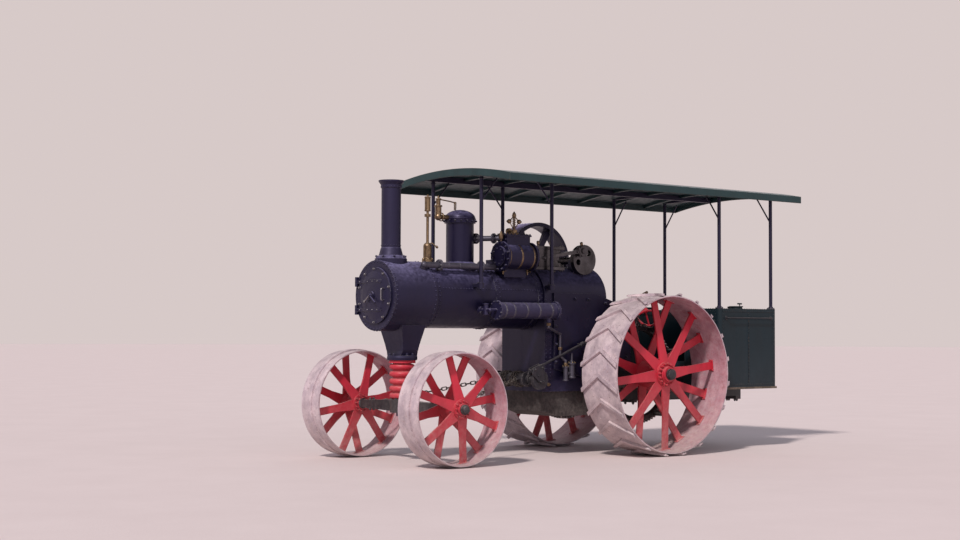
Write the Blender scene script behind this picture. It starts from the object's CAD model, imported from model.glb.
from math import copysign, cos, pi, radians, sin, sqrt, tan

import bmesh
import bpy
from mathutils import Matrix, Vector


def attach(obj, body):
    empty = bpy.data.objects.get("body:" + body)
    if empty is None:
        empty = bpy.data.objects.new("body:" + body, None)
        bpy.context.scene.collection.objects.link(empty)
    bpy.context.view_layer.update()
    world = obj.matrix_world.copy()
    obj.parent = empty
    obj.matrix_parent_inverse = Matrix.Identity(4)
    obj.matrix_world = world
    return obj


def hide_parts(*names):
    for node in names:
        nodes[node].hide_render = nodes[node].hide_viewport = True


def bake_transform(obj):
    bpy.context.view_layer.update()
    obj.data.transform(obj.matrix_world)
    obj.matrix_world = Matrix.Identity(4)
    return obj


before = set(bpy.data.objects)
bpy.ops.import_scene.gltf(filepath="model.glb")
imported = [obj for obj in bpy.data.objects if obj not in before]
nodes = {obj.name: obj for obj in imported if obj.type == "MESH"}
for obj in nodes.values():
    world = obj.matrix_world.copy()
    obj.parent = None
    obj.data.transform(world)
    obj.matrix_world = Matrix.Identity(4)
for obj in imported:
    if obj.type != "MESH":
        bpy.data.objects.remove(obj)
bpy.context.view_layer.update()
scene = bpy.context.scene
scene.view_settings.view_transform = "Standard"

# The view, from the left front at eye height.
camera = bpy.data.objects.new("camera", bpy.data.cameras.new("camera"))
scene.collection.objects.link(camera)
right, up, ahead = (-0.78075, 0.62483, 0.00354), (0.02705, 0.02814, 0.99924), (-0.62426, -0.78025, 0.03887)
stand = (12.305, 13.802, 1.385)
camera.matrix_world = Matrix([(right[i], up[i], -ahead[i], stand[i]) for i in range(3)] + [(0, 0, 0, 1)])
camera.data.sensor_width = 36
camera.data.lens = 59.66
camera.data.clip_end = 400
scene.camera = camera


# Ground and light: a pale floor under a pale sky, a high sun softened by haze from the left front,
# and two weak wide lamps that open the shadows.
def new_material(name):
    """A material with its nodes and its Principled shader."""
    material = bpy.data.materials.new(name)
    material.use_nodes = True
    tree = material.node_tree
    return material, tree, tree.nodes["Principled BSDF"]


def wire(node, **inputs):
    """Fills a node's inputs by name or number, each with a plain value or a socket to wire in."""
    for name, value in inputs.items():
        name = name.replace("_", " ")
        socket = node.inputs[int(name[1:])] if name[:1] == "i" and name[1:].isdigit() else node.inputs[name]
        if isinstance(value, bpy.types.NodeSocket):
            node.id_data.links.new(value, socket)
        else:
            socket.default_value = value
    return node


def add_node(tree, kind, settings={}, **inputs):
    """A node with its settings and inputs."""
    node = tree.nodes.new("ShaderNode" + kind)
    for name, value in settings.items():
        setattr(node, name, value)
    return wire(node, **inputs)


def here(tree):
    """The point that is shaded, in the frame of its object."""
    return add_node(tree, "TexCoord").outputs["Object"]


def noise(tree, at, scale, detail, rough=0.5):
    """Cloudy noise about one half."""
    return add_node(tree, "TexNoise", Vector=at, Scale=scale, Detail=detail, Roughness=rough).outputs["Fac"]


def mix(tree, share, one, other):
    """Two colours mixed, each a socket or plain red, green and blue."""
    one, other = (c if isinstance(c, bpy.types.NodeSocket) else (*c, 1) for c in (one, other))
    return add_node(tree, "MixRGB", Fac=share, Color1=one, Color2=other).outputs[0]


def sums(tree, operation, a, b, clamp=False):
    """The result of one Math node."""
    return add_node(tree, "Math", {"operation": operation, "use_clamp": clamp}, i0=a, i1=b).outputs[0]


def bumped(tree, height, strength, depth, **under):
    """The normal over a relief."""
    return add_node(tree, "Bump", Strength=strength, Distance=depth, Height=height, **under).outputs[0]


bm = bmesh.new()
bmesh.ops.create_circle(bm, cap_ends=True, segments=96, radius=150)
floor_mesh = bpy.data.meshes.new("floor")
bm.to_mesh(floor_mesh)
bm.free()
floor = bpy.data.objects.new("floor", floor_mesh)
scene.collection.objects.link(floor)
floor_paint, tree, shader = new_material("floor")
place = here(tree)
sand = mix(tree, noise(tree, place, 1.1, 8, 0.65), (0.68, 0.565, 0.545), (0.76, 0.64, 0.62))
wire(shader, Base_Color=sand, Roughness=0.95, Specular_IOR_Level=0.1,
     Normal=bumped(tree, noise(tree, place, 38, 6), 0.25, 0.01))
floor_mesh.materials.append(floor_paint)

world = bpy.data.worlds.new("sky")
world.use_nodes = True
scene.world = world
tree = world.node_tree
tree.nodes.clear()
path = add_node(tree, "LightPath").outputs
seen = sums(tree, "MAXIMUM", path["Is Camera Ray"], path["Is Glossy Ray"])
seen = sums(tree, "MAXIMUM", seen, path["Is Transmission Ray"])
soft = add_node(tree, "Background", Color=(0.8, 0.84, 1.0, 1), Strength=0.38)
shown = add_node(tree, "Background", Color=(0.68, 0.59, 0.58, 1), Strength=1.0)
mixed = add_node(tree, "MixShader", Fac=seen, i1=soft.outputs[0], i2=shown.outputs[0])
add_node(tree, "OutputWorld", Surface=mixed.outputs[0])

for name, spot, wide, power, colour in (("key", (8, 4.5, 9), 5, 2.7, (1, 0.95, 0.92)),
                                        ("fill", (3, 12, 3.5), 70, 0.35, (0.9, 0.92, 1)),
                                        ("back", (-9, -8, 6), 40, 0.22, (0.96, 0.95, 1))):
    lamp = bpy.data.objects.new(name, bpy.data.lights.new(name, "SUN"))
    scene.collection.objects.link(lamp)
    lamp.data.angle = radians(wide)
    lamp.data.energy = power
    lamp.data.color = colour
    lamp.location = spot
    lamp.rotation_euler = (-Vector(spot)).to_track_quat("-Z", "Y").to_euler()

# Ageing that the paints share: mottled paint, wear to bare metal along edges, and road dust
# that lies on upward faces and climbs from the ground.
def node_group(name, takes, gives):
    """A shared group of nodes, what it is given, and the node that takes its results."""
    tree = bpy.data.node_groups.new(name, "ShaderNodeTree")
    for label, kind, start in takes:
        tree.interface.new_socket(label, in_out="INPUT", socket_type="NodeSocket" + kind).default_value = start
    for label, kind in gives:
        tree.interface.new_socket(label, in_out="OUTPUT", socket_type="NodeSocket" + kind)
    return tree, tree.nodes.new("NodeGroupInput").outputs, tree.nodes.new("NodeGroupOutput")


def span(tree, value, low, high, to_low=0.0, to_high=1.0):
    """A value spread from one range to another and held there."""
    return add_node(tree, "MapRange", i0=value, i1=low, i2=high, i3=to_low, i4=to_high).outputs[0]


def times(tree, a, b, clamp=False):
    """A product."""
    return sums(tree, "MULTIPLY", a, b, clamp)


def scaled(tree, colour, share):
    """A colour made brighter or darker."""
    return add_node(tree, "VectorMath", {"operation": "SCALE"}, i0=colour, Scale=share).outputs[0]


def split(tree, vector):
    """The sockets X, Y and Z of a vector."""
    return add_node(tree, "SeparateXYZ", Vector=vector).outputs


def outward(tree):
    """The surface's normal."""
    return add_node(tree, "NewGeometry").outputs["Normal"]


def level(tree, share, one, other):
    """A plain value between two."""
    return add_node(tree, "Mix", i0=share, i2=one, i3=other).outputs[0]


aged, given, result = node_group(
    "aged surface",
    (("Paint", "Color", (0, 0, 0, 1)), ("Bare", "Color", (0.3, 0.3, 0.3, 1)), ("Gloss", "Float", 0.4),
     ("Wear", "Float", 0.5), ("Dust", "Float", 0.5), ("Climb", "Float", 1.2), ("Edge", "Float", 0.006),
     ("Metal", "Float", 0.0), ("Dust Tone", "Color", (0.5, 0.42, 0.38, 1))),
    (("Colour", "Color"), ("Roughness", "Float"), ("Metallic", "Float"), ("Normal", "Vector")))
place = here(aged)
broad = noise(aged, place, 2.3, 5, 0.6)
fine = noise(aged, place, 27, 7, 0.62)
runs = add_node(aged, "Mapping", Vector=place, Scale=(13, 13, 0.9)).outputs[0]
streaks = noise(aged, runs, 1, 4)
height = sums(aged, "DIVIDE", split(aged, place)["Z"], given["Climb"])
low = sums(aged, "POWER", sums(aged, "SUBTRACT", 1.0, height, clamp=True), 1.4)
flat = sums(aged, "POWER", span(aged, split(aged, outward(aged))["Z"], 0.15, 1.0), 1.6)
lying = sums(aged, "ADD", times(aged, low, 0.85), times(aged, flat, 0.55))
broken = span(aged, sums(aged, "ADD", times(aged, broad, 0.5), times(aged, fine, 0.5)),
              0.36, 0.64, 0.25, 1.35)
dusty = times(aged, times(aged, lying, broken), given["Dust"], clamp=True)
rounded = add_node(aged, "Bevel", {"samples": 6}, Radius=given["Edge"]).outputs[0]
bend = add_node(aged, "VectorMath", {"operation": "DOT_PRODUCT"}, i0=rounded, i1=outward(aged)).outputs["Value"]
edges = span(aged, bend, 0.985, 0.88)
chips = span(aged, fine, 0.47, 0.58)
bare = times(aged, times(aged, edges, chips), given["Wear"], clamp=True)
shade = sums(aged, "ADD", span(aged, broad, 0.3, 0.7, 0.78, 1.12), span(aged, streaks, 0.3, 0.7, -0.08, 0.1))
tint = scaled(aged, given["Paint"], shade)
worn = mix(aged, bare, tint, given["Bare"])
dust_tone = scaled(aged, given["Dust Tone"], span(aged, fine, 0.3, 0.7, 0.68, 1.1))
final = mix(aged, dusty, worn, dust_tone)
rough = sums(aged, "ADD", given["Gloss"], span(aged, fine, 0.3, 0.7, -0.07, 0.09))
rough = sums(aged, "ADD", rough, span(aged, streaks, 0.4, 0.7, -0.03, 0.09), clamp=True)
rough = level(aged, dusty, rough, 0.92)
metal = times(aged, sums(aged, "MAXIMUM", bare, given["Metal"]), sums(aged, "SUBTRACT", 1.0, dusty))
wire(result, Colour=final, Roughness=rough, Metallic=metal, Normal=rounded)


def aged_finish(name, paint, gloss, wear=0.5, dust=0.5, climb=1.2, edge=0.006, metal=0.0, coat=0.0,
                bare=(0.33, 0.31, 0.3), grain=(0, 60), mask=None, second=None, second_gloss=0.7,
                second_metal=0.0, dust_tone=(0.5, 0.42, 0.38), glance=0.5, sheen=(1, 1, 1)):
    """A paint or metal finish with the shared ageing and a cast or rolled grain, given as depth and fineness. A
    mask, made by a function of the material's tree, lays a second colour over part of it, plain or made by a
    function too. Glance and sheen are how much the paint reflects and the tone of that."""
    material, tree, shader = new_material(name)
    colour, shine, metallic = (*paint, 1), gloss, metal
    if mask:
        over = mask(tree)
        colour = mix(tree, over, paint, second(tree) if callable(second) else second)
        shine = level(tree, over, gloss, second_gloss)
        metallic = level(tree, over, metal, second_metal)
    old = add_node(tree, "Group", {"node_tree": aged}, Paint=colour, Bare=(*bare, 1), Gloss=shine, Wear=wear, Dust=dust,
                   Climb=climb, Edge=edge, Metal=metallic, Dust_Tone=(*dust_tone, 1)).outputs
    normal = old["Normal"]
    if grain[0]:
        normal = bumped(tree, noise(tree, here(tree), grain[1], 5), grain[0], 0.004, Normal=normal)
    wire(shader, Base_Color=old["Colour"], Roughness=old["Roughness"], Metallic=old["Metallic"], Normal=normal,
         Specular_IOR_Level=glance, Specular_Tint=(*sheen, 1))
    if coat:
        wire(shader, Coat_Weight=coat, Coat_Roughness=0.12)
    return material


def dress(material, *names):
    """Gives CAD nodes their finish."""
    for name in names:
        nodes[name].data.materials.clear()
        nodes[name].data.materials.append(material)


# Boiler barrel: rolled plate in satin black under lavender dust, belted at its joints. Round-headed rivets
# run round each belt and along the lap seam on the left.
LAVENDER = (0.7, 0.64, 1.0)
boiler_black = aged_finish("boiler black", (0.005, 0.004, 0.018), 0.36, wear=0.35, dust=0.85, climb=0.9,
                           grain=(0.05, 9), dust_tone=(0.34, 0.3, 0.56), glance=0.45, sheen=LAVENDER)
dress(boiler_black, "boiler_barrel", "firebox", "dome", "side_plates", "crank_pedestal", "cylinder")
BOILER_Z = 1.765
BARREL_R = 0.342
BELTS = (2.0975, 1.2735, 0.6675)
FRONT, REAR, LEFT, RIGHT, UP, DOWN = (1, 0, 0), (-1, 0, 0), (0, 1, 0), (0, -1, 0), (0, 0, 1), (0, 0, -1)
AXES = {"X": (FRONT, LEFT, UP), "Y": (LEFT, FRONT, UP), "Z": (UP, FRONT, LEFT)}


def piece(bm, name, material, sharp=38, body="engine"):
    """A finished mesh that rides on a body, or on none where it is to be blended between two."""
    mesh = bpy.data.meshes.new(name)
    bm.to_mesh(mesh)
    bm.free()
    mesh.shade_smooth()
    mesh.set_sharp_from_angle(angle=radians(sharp))
    mesh.materials.append(material)
    thing = bpy.data.objects.new(name, mesh)
    scene.collection.objects.link(thing)
    if body:
        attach(thing, body)
    return thing


def stamp(bm, small, places=(Matrix(),)):
    """Adds a copy of a small shape at each placement."""
    mesh = bpy.data.meshes.new("stamp")
    small.to_mesh(mesh)
    small.free()
    for place in places:
        mesh.transform(place)
        bm.from_mesh(mesh)
        mesh.transform(place.inverted())
    bpy.data.meshes.remove(mesh)


def facing(at, out):
    """A placement whose +Z points out of a surface."""
    return Matrix.Translation(at) @ Vector(out).to_track_quat("Z", "Y").to_matrix().to_4x4()


def around(centre, axis, r, count, start=0.0, way=1, radial=False):
    """Placements round a circle, facing along its axis, or away from it where radial. Round X, angle 0 is to the
    left; round Y and Z it is to the front; a quarter turn on is up, or for Z to the left."""
    along_axis, u, v = (Vector(line) for line in AXES[axis])
    found = []
    for i in range(count):
        angle = radians(start) + 2 * pi * i / count
        out = u * cos(angle) + v * sin(angle)
        found.append(facing(Vector(centre) + out * r, out if radial else along_axis * way))
    return found


def along(a, b, count, out):
    """Placements in a row from one point to another."""
    a, b = Vector(a), Vector(b)
    return [facing(a.lerp(b, i / max(1, count - 1)), out) for i in range(count)]


def head(r=0.0095, rise=0.62, sides=9):
    """A snap head: half a flattened ball."""
    bm = bmesh.new()
    bmesh.ops.create_uvsphere(bm, u_segments=sides, v_segments=6, radius=r)
    bmesh.ops.bisect_plane(bm, geom=bm.verts[:] + bm.edges[:] + bm.faces[:], plane_co=(0, 0, 0), plane_no=DOWN,
                           clear_outer=True)
    bmesh.ops.holes_fill(bm, edges=bm.edges[:])
    bmesh.ops.scale(bm, vec=(1, 1, rise), verts=bm.verts[:])
    return bm


bm = bmesh.new()
for belt in BELTS:
    for side in (-0.019, 0.019):
        stamp(bm, head(), around((belt + side, 0, BOILER_Z), "X", BARREL_R + 0.006, 44, 4 * (side > 0), radial=True))
seam = (0, cos(radians(14)), sin(radians(14)))
row = [x for x in (0.735 + i * 0.039 for i in range(35)) if all(abs(x - belt) > 0.045 for belt in BELTS)]
stamp(bm, head(), [facing((x, seam[1] * BARREL_R, BOILER_Z + seam[2] * BARREL_R), seam) for x in row])
piece(bm, "boiler_rivets", boiler_black)

# Smokebox: a dull black shell of plate, riveted at both ends, along its foot and round its front plate.
smokebox_black = aged_finish("smokebox black", (0.007, 0.006, 0.022), 0.46, wear=0.4, dust=0.95, climb=0.9,
                             grain=(0.08, 30), dust_tone=(0.35, 0.31, 0.56), glance=0.55, sheen=LAVENDER)
dress(smokebox_black, "smokebox", "smokebox_door", "chimney", "front_pedestal")


def nut(width=0.022, stud=True):
    """A hexagon nut on a washer, with the end of its stud."""
    bm = bmesh.new()
    bmesh.ops.create_cone(bm, cap_ends=True, segments=6, radius1=width * 0.577, radius2=width * 0.577,
                          depth=width * 0.7, matrix=Matrix.Translation((0, 0, width * 0.47)))
    crown = [edge for edge in bm.edges if all(v.co.z > width * 0.7 for v in edge.verts)]
    bmesh.ops.bevel(bm, geom=crown, offset=width * 0.06, offset_type="OFFSET", affect="EDGES", segments=1, profile=0.5,
                    material=-1)
    bmesh.ops.create_cone(bm, cap_ends=True, segments=14, radius1=width * 0.72, radius2=width * 0.7,
                          depth=width * 0.14, matrix=Matrix.Translation((0, 0, width * 0.06)))
    if stud:
        bmesh.ops.create_cone(bm, cap_ends=True, segments=8, radius1=width * 0.27, radius2=width * 0.21,
                              depth=width * 0.35, matrix=Matrix.Translation((0, 0, width * 0.9)))
    return bm


bm = bmesh.new()
for x in (2.152, 2.652):
    stamp(bm, head(0.01), around((x, 0, BOILER_Z), "X", 0.374, 48, radial=True))
stamp(bm, head(0.01), along((2.19, -0.2, BOILER_Z - 0.316), (2.62, -0.2, BOILER_Z - 0.316), 11, (0, -0.2, -0.316)))
stamp(bm, head(0.009), around((2.6725, 0, BOILER_Z), "X", 0.356, 40, start=4.5))
piece(bm, "smokebox_rivets", smokebox_black)

# Smokebox door: a dished plate clamped at its middle by a dart, with nuts round its rim, bolts through the
# hinge straps, a grab handle, and a second, shorter dart handle that locks the first.
bright_steel = aged_finish("bright steel", (0.26, 0.25, 0.27), 0.32, wear=0.0, dust=0.1, climb=0.7, metal=1.0,
                           grain=(0.06, 120))


def join(bm, *smalls):
    """Adds small shapes where they stand."""
    for small in smalls:
        stamp(bm, small)


def bar(points, r, sides=10, closed=False):
    """A round bar or pipe: a circle extruded from each point to the next, and turned at the bends."""
    bm = bmesh.new()
    points = [Vector(point) for point in points]
    ahead = [(b - a).normalized() for a, b in zip(points, points[1:] + points[:1])]
    if not closed:
        ahead[-1] = ahead[-2]
    back = [ahead[i - 1] if i or closed else ahead[0] for i in range(len(points))]
    ways = [(a + b).normalized() for a, b in zip(ahead, back)]
    loop = bmesh.ops.create_circle(bm, cap_ends=not closed, segments=sides, radius=r,
                                   matrix=facing(points[0], ways[0]))["verts"]
    first = edges = [edge for edge in bm.edges if all(v in loop for v in edge.verts)]
    for i in range(1, len(points)):
        made = bmesh.ops.extrude_edge_only(bm, edges=edges)["geom"]
        edges = [part for part in made if isinstance(part, bmesh.types.BMEdge)]
        loop = [part for part in made if isinstance(part, bmesh.types.BMVert)]
        edges = [edge for edge in edges if all(v in loop for v in edge.verts)]
        bmesh.ops.translate(bm, verts=loop, vec=points[i] - points[i - 1])
        bmesh.ops.rotate(bm, verts=loop, cent=points[i], matrix=ways[i - 1].rotation_difference(ways[i]).to_matrix())
    if closed:
        bmesh.ops.bridge_loops(bm, edges=edges + first)
    else:
        bmesh.ops.holes_fill(bm, edges=edges)
    bmesh.ops.recalc_face_normals(bm, faces=bm.faces[:])
    return bm


def eased(points, r, steps=4):
    """The points of a bent bar, with each corner rounded to radius r."""
    points = [Vector(point) for point in points]
    found = [points[0]]
    for a, b, c in zip(points, points[1:], points[2:]):
        one, two = (a - b).normalized(), (c - b).normalized()
        half = one.angle(two) / 2
        centre = b + (one + two).normalized() * (r / sin(half))
        start, end = b + one * (r / tan(half)) - centre, b + two * (r / tan(half)) - centre
        found += [centre + start.slerp(end, k / steps).normalized() * r for k in range(steps + 1)]
    return found + [points[-1]]


def turned(profile, sides=24, at=(0, 0, 0), out=UP):
    """A turned shape from its half outline, given as radius and height, standing on a point and facing out."""
    bm = bmesh.new()
    points = [bm.verts.new((r, 0, z)) for r, z in profile]
    for a, b in zip(points, points[1:]):
        bm.edges.new((a, b))
    bmesh.ops.spin(bm, geom=bm.verts[:] + bm.edges[:], cent=(0, 0, 0), axis=UP, angle=2 * pi, steps=sides,
                   use_merge=True)
    bmesh.ops.remove_doubles(bm, verts=bm.verts[:], dist=1e-5)
    bmesh.ops.recalc_face_normals(bm, faces=bm.faces[:])
    bmesh.ops.transform(bm, matrix=facing(at, out), verts=bm.verts[:])
    return bm


bm = bmesh.new()
stamp(bm, nut(0.02), around((2.6915, 0, BOILER_Z), "X", 0.281, 10, start=18))
stamp(bm, head(0.008), [facing((2.7199, y, BOILER_Z + z), FRONT) for y in (-0.09, 0, 0.09) for z in (-0.15, 0.15)])
stamp(bm, head(0.008), [facing((2.6995, -0.262, BOILER_Z + z), FRONT) for z in (-0.15, 0.15)])
grab = [(x, 0.2, BOILER_Z + z) for x, z in ((2.7, -0.05), (2.745, -0.05), (2.745, 0.07), (2.7, 0.07))]
knob = (2.755, -0.075, BOILER_Z - 0.055)
join(bm, bar(eased(grab, 0.014), 0.008), bar([(2.755, 0.0, BOILER_Z), knob], 0.0085),
     turned([(0, 0), (0.012, 0.002), (0.016, 0.012), (0.012, 0.024), (0, 0.028)], 12, knob, (0, -0.8, -0.6)))
piece(bm, "smokebox_door_dart", bright_steel, body="smokebox_door")

# Chimney: a rolled tube with a riveted back seam, a cast foot bolted down to the smokebox, and a flared cap
# held by a ring of rivets.
CHIMNEY_X = 2.4775


def on_slope(x, z, r, count, lean, rise, start=0.0):
    """Placements round a sloping foot, facing out and up."""
    return [facing((x + r * cos(a), r * sin(a), z), (lean * cos(a), lean * sin(a), rise))
            for a in (radians(start + 360 * i / count) for i in range(count))]


bm = bmesh.new()
stamp(bm, head(0.0065), along((CHIMNEY_X - 0.104, 0, 2.32), (CHIMNEY_X - 0.104, 0, 2.88), 16, REAR))
for z, r in ((2.3, 0.1045), (2.925, 0.1115)):
    stamp(bm, head(0.0065), around((CHIMNEY_X, 0, z), "Z", r, 20, radial=True))
stamp(bm, nut(0.022), on_slope(CHIMNEY_X, 2.176, 0.152, 8, 0.64, 0.77, 22.5))
piece(bm, "chimney_rivets", smokebox_black)

# Steam dome: flanged plate riveted to the barrel, with a pressed lid held down by studs.
DOME_X = 1.5475


def band(inner, outer, low, high, ease, sides, at, out=UP):
    """A ring round a pipe, rod or drum, its outer edges eased."""
    return turned([(inner, low), (outer, low + ease), (outer, high - ease), (inner, high)], sides, at, out)


bm = bmesh.new()
stamp(bm, head(0.009), on_slope(DOME_X, 2.132, 0.178, 26, 0.55, 0.83))
stamp(bm, nut(0.018), around((DOME_X, 0, 2.602), "Z", 0.172, 16, start=11, radial=True))
join(bm, band(0.1735, 0.1765, -0.008, 0.008, 0.004, 48, (DOME_X, 0, 2.625)))
piece(bm, "dome_bolts", boiler_black)

# Safety valve on the dome and whistle on its riser: cast and turned brass, gone dull, with a loaded lever,
# a spring, and the whistle's own pull lever.
def tarnish(tree):
    """Brown patches where brass has lost its polish."""
    return span(tree, noise(tree, here(tree), 19, 6, 0.7), 0.44, 0.62)


brass = aged_finish("aged brass", (0.27, 0.19, 0.115), 0.36, wear=0.6, dust=0.35, climb=0.8, metal=1.0,
                    bare=(0.6, 0.46, 0.28), grain=(0.05, 80), mask=tarnish, second=(0.13, 0.085, 0.06),
                    second_gloss=0.5, second_metal=0.9)
dress(brass, "dome_valve", "whistle", "governor", "backhead_fittings")


def coil(at, out, r, wire, turns, long, sides=8, steps=12):
    """A spring of round wire."""
    stand = facing(at, out)
    count = int(turns * steps)
    return bar([stand @ Vector((r * cos(2 * pi * i / steps), r * sin(2 * pi * i / steps), long * i / count))
                for i in range(count + 1)], wire, sides)


VALVE_X, SPRING_X, WHISTLE_X = 1.8475, 1.615, 1.9925
bm = bmesh.new()
join(bm, bar([(VALVE_X, 0, 2.83), (1.7, 0, 2.815), (1.6, 0, 2.8)], 0.007),
     coil((SPRING_X, 0, 2.725), UP, 0.014, 0.003, 6, 0.075), bar([(SPRING_X, 0, 2.715), (SPRING_X, 0, 2.815)], 0.005),
     turned([(0, 0), (0.03, 0.0), (0.034, 0.006), (0.03, 0.012), (0.012, 0.016), (0.01, 0.04), (0, 0.044)], 20,
            (VALVE_X, 0, 2.826)),
     band(0.04, 0.048, -0.008, 0.008, 0.002, 20, (VALVE_X - 0.04, 0, 2.637), FRONT),
     band(0.047, 0.055, 0, 0.015, 0.003, 20, (WHISTLE_X, 0, 2.17)),
     band(0.033, 0.0355, 0, 0.01, 0.002, 20, (WHISTLE_X, 0, 2.695)),
     band(0.033, 0.0355, 0, 0.01, 0.002, 20, (WHISTLE_X, 0, 2.835)),
     bar(eased([(WHISTLE_X, 0, 2.318), (WHISTLE_X, 0.075, 2.345), (WHISTLE_X, 0.16, 2.3)], 0.03), 0.006),
     turned([(0, 0), (0.013, 0.003), (0.015, 0.016), (0.011, 0.03), (0, 0.032)], 12, (WHISTLE_X, 0.155, 2.303),
            (0, 0.85, -0.5)))
stamp(bm, nut(0.016, False), around((WHISTLE_X, 0, 2.167), "Z", 0.053, 6))
piece(bm, "valve_and_whistle_trim", brass, 50)

# Firebox: flanged plate with rows of rivets up its corners and along the backhead, and washout plugs of brass
# at the foot of the water space.
FIREBOX_R, BACKHEAD_X = 0.375, -0.3075


def mirrored(bm):
    """Adds the same shape on the other side of the engine."""
    bmesh.ops.mirror(bm, geom=bm.verts[:] + bm.edges[:] + bm.faces[:], axis="Y", merge_dist=-1)
    bmesh.ops.recalc_face_normals(bm, faces=bm.faces[:])


bm = bmesh.new()
for x in (0.612, 0.548):
    stamp(bm, head(0.01), along((x, FIREBOX_R, 0.76), (x, FIREBOX_R, 1.74), 24, LEFT))
stamp(bm, head(0.01), along((BACKHEAD_X, 0.35, 0.745), (BACKHEAD_X, 0.35, 1.765), 24, REAR))
mirrored(bm)
stamp(bm, head(0.01), [facing((BACKHEAD_X, 0.35 * cos(a), BOILER_Z + 0.35 * sin(a)), REAR)
                        for a in (pi * (i + 0.5) / 24 for i in range(24))])
stamp(bm, head(0.01), along((BACKHEAD_X, -0.31, 0.745), (BACKHEAD_X, 0.31, 0.745), 14, REAR))
for z in (1.33, 1.42, 1.5, 0.82, 0.9):
    stamp(bm, head(0.007, 0.5), along((BACKHEAD_X, -0.3, z), (BACKHEAD_X, 0.3, z), 9, REAR))
piece(bm, "firebox_rivets", boiler_black)

bm = bmesh.new()
plug = [(0, 0), (0.022, 0), (0.022, 0.008), (0.018, 0.011), (0.013, 0.011), (0.013, 0.028), (0, 0.03)]
for at, out in (((0.58, FIREBOX_R, 0.8), LEFT), ((BACKHEAD_X, -0.26, 0.785), REAR),
                ((BACKHEAD_X, 0.26, 0.785), REAR)):
    join(bm, turned(plug, 6, at, out))
piece(bm, "washout_plugs", brass)

# Ash pan: sheet iron under the firebox, rusted by heat and wet ash, with a damper on its rear slope.
ash_iron = aged_finish("ash pan iron", (0.022, 0.017, 0.018), 0.7, wear=0.3, dust=0.4, climb=1.3, grain=(0.35, 45),
                       glance=0.35)
dress(ash_iron, "ash_pan")


def slab(low, high, soften=0.002):
    """A plate or block with its edges taken off."""
    low, high = Vector(low), Vector(high)
    bm = bmesh.new()
    size = Matrix.Diagonal((*(high - low), 1))
    bmesh.ops.create_cube(bm, size=1, matrix=Matrix.Translation((low + high) / 2) @ size)
    bmesh.ops.bevel(bm, geom=bm.edges[:], offset=soften, offset_type="OFFSET", affect="EDGES", segments=1, profile=0.5,
                    material=-1)
    return bm


bm = bmesh.new()
join(bm, slab((-0.317, -0.22, 0.6), (-0.307, 0.22, 0.7)), bar([(-0.322, -0.24, 0.697), (-0.322, 0.24, 0.697)], 0.008),
     bar([(-0.322, 0.245, 0.697), (-0.335, 0.245, 0.65)], 0.006))
for y in (-0.336, 0.336):
    stamp(bm, head(0.007, 0.5), along((-0.29, y, 0.705), (0.61, y, 0.705), 16, (0, y, 0)))
piece(bm, "ash_pan_damper", ash_iron)

# Side plates: rolled plate studded to the firebox sides, with bolts round the bearing bosses.
CRANK_X, CRANK_Z = -0.0275, 2.215
COUNTER_X, COUNTER_Z = -0.4375, 1.578
bm = bmesh.new()
for x, z in ((-0.6, 0.86), (-0.6, 1.1), (-0.6, 1.34), (0.485, 1.05), (0.485, 1.25), (0.485, 1.45), (0.485, 1.65),
             (-0.1, 0.86), (0.2, 0.91), (-0.36, 0.84), (0.2, 1.76), (0.0, 1.76), (-0.27, 1.72)):
    stamp(bm, nut(0.026), [facing((x, 0.395, z), LEFT)])
stamp(bm, nut(0.018), around((COUNTER_X, 0.397, COUNTER_Z), "Y", 0.09, 6, start=30))
mirrored(bm)
for x, z in ((0.08, 2.02), (-0.14, 2.02), (0.08, 1.88), (-0.14, 1.88)):
    stamp(bm, nut(0.026), [facing((x, -0.395, z), RIGHT)])
stamp(bm, nut(0.018), around((CRANK_X, -0.395, CRANK_Z), "Y", 0.098, 6, start=50, way=-1)[:4])
piece(bm, "side_plate_bolts", boiler_black)

# Cylinder: a cast barrel with lagging held by brass bands, studded heads, and a valve chest whose cover plate
# is nutted down all round. Drain cocks stand below, and a sight lubricator of brass on the front flange.
ENGINE_Y, CHEST_TOP = 0.345, 2.455
bm = bmesh.new()
axis = (ENGINE_Y, CRANK_Z)
stamp(bm, nut(0.019), around((1.2565, *axis), "X", 0.146, 12, start=15))
stamp(bm, nut(0.013), around((1.2825, *axis), "X", 0.085, 8, start=10))
stamp(bm, nut(0.017), [place for place in around((0.8265, *axis), "X", 0.147, 12, start=15, way=-1)
                       if abs(place.translation.y - ENGINE_Y) > 0.06])
for y in (0.244, 0.406):
    stamp(bm, nut(0.015), along((0.88, y, CHEST_TOP), (1.203, y, CHEST_TOP), 7, UP))
for x in (0.875, 1.208):
    stamp(bm, nut(0.015), along((x, 0.285, CHEST_TOP), (x, 0.365, CHEST_TOP), 2, UP))
stamp(bm, nut(0.013), along((1.2065, 0.265, 2.4), (1.2065, 0.385, 2.4), 3, FRONT))
piece(bm, "cylinder_nuts", boiler_black)

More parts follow.
